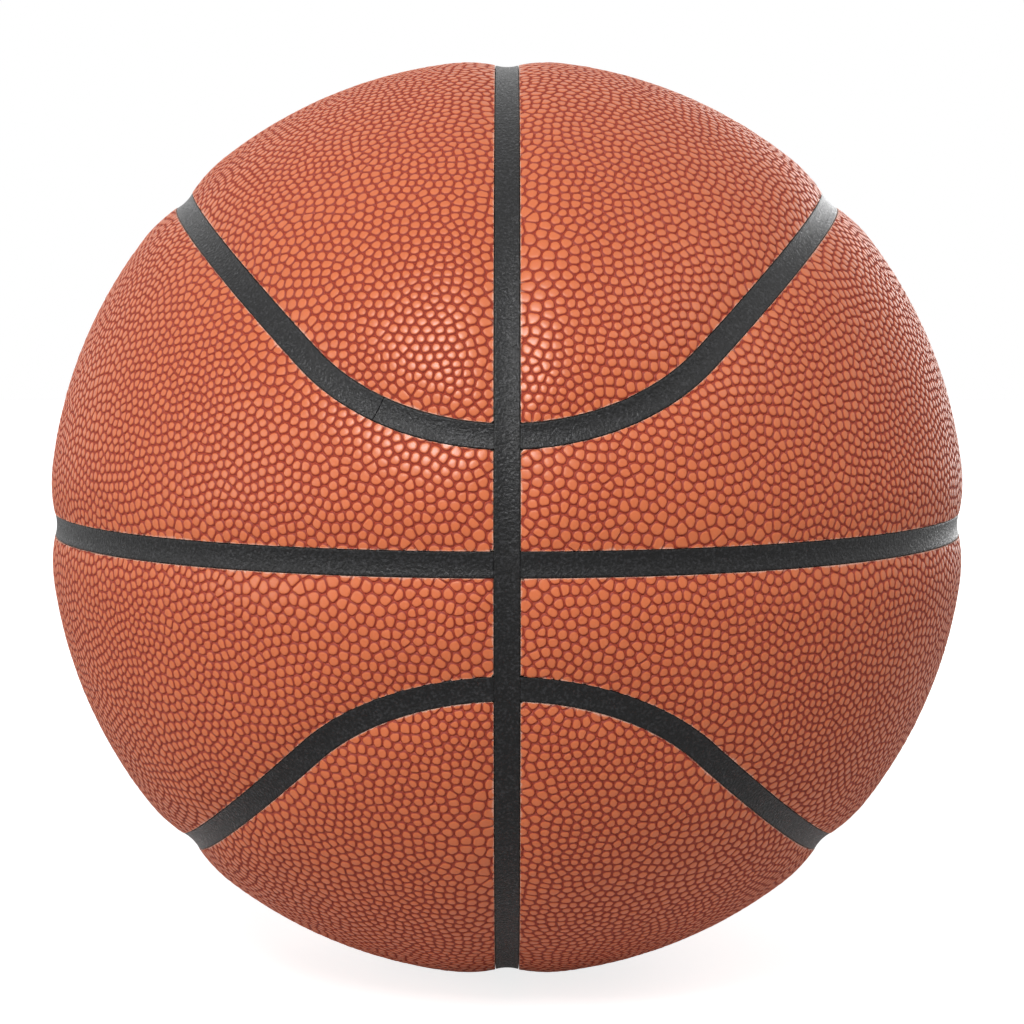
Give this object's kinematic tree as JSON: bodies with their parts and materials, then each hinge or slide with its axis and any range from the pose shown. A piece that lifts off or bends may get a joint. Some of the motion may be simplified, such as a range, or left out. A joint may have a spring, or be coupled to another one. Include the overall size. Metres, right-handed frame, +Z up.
{
  "type": "basketball",
  "caption": "Inflated game ball with a pebbled orange cover of curved panels, inlaid dark rubber strips between them, and an inflation valve.",
  "frame": {"origin": "centre of the ball", "axes": "+Z up and square to the equator seam; +X square to the vertical seam; -Y through the front crossing of those two seams, which faces the viewer"},
  "size_m": [0.2388, 0.2382, 0.2388],
  "materials": {
    "cover": "pebbled, matt",
    "sponge": "cellular, matt",
    "inlay": "matt",
    "carcass": "moulded, matt",
    "thread": "wound thread",
    "butyl": "smooth, satin"
  },
  "bodies": {
    "root": {"cap_panel_upper_left": "cover", "cap_panel_upper_right": "cover", "cap_panel_lower_left": "cover", "cap_panel_lower_right": "cover", "band_panel_upper_left": "cover", "band_panel_upper_right": "cover", "band_panel_lower_left": "cover", "band_panel_lower_right": "cover", "cap_pad_upper_left": "sponge", "cap_pad_upper_right": "sponge", "cap_pad_lower_left": "sponge", "cap_pad_lower_right": "sponge", "band_pad_upper_left": "sponge", "band_pad_upper_right": "sponge", "band_pad_lower_left": "sponge", "band_pad_lower_right": "sponge", "vertical_strip": "inlay", "equator_strip_left": "inlay", "equator_strip_right": "inlay", "curved_strip_upper_left": "inlay", "curved_strip_upper_right": "inlay", "curved_strip_lower_left": "inlay", "curved_strip_lower_right": "inlay", "carcass": "carcass", "thread_winding": "thread", "bladder": "butyl", "valve_housing": "butyl", "valve_plug": "butyl"}
  },
  "joints": []
}
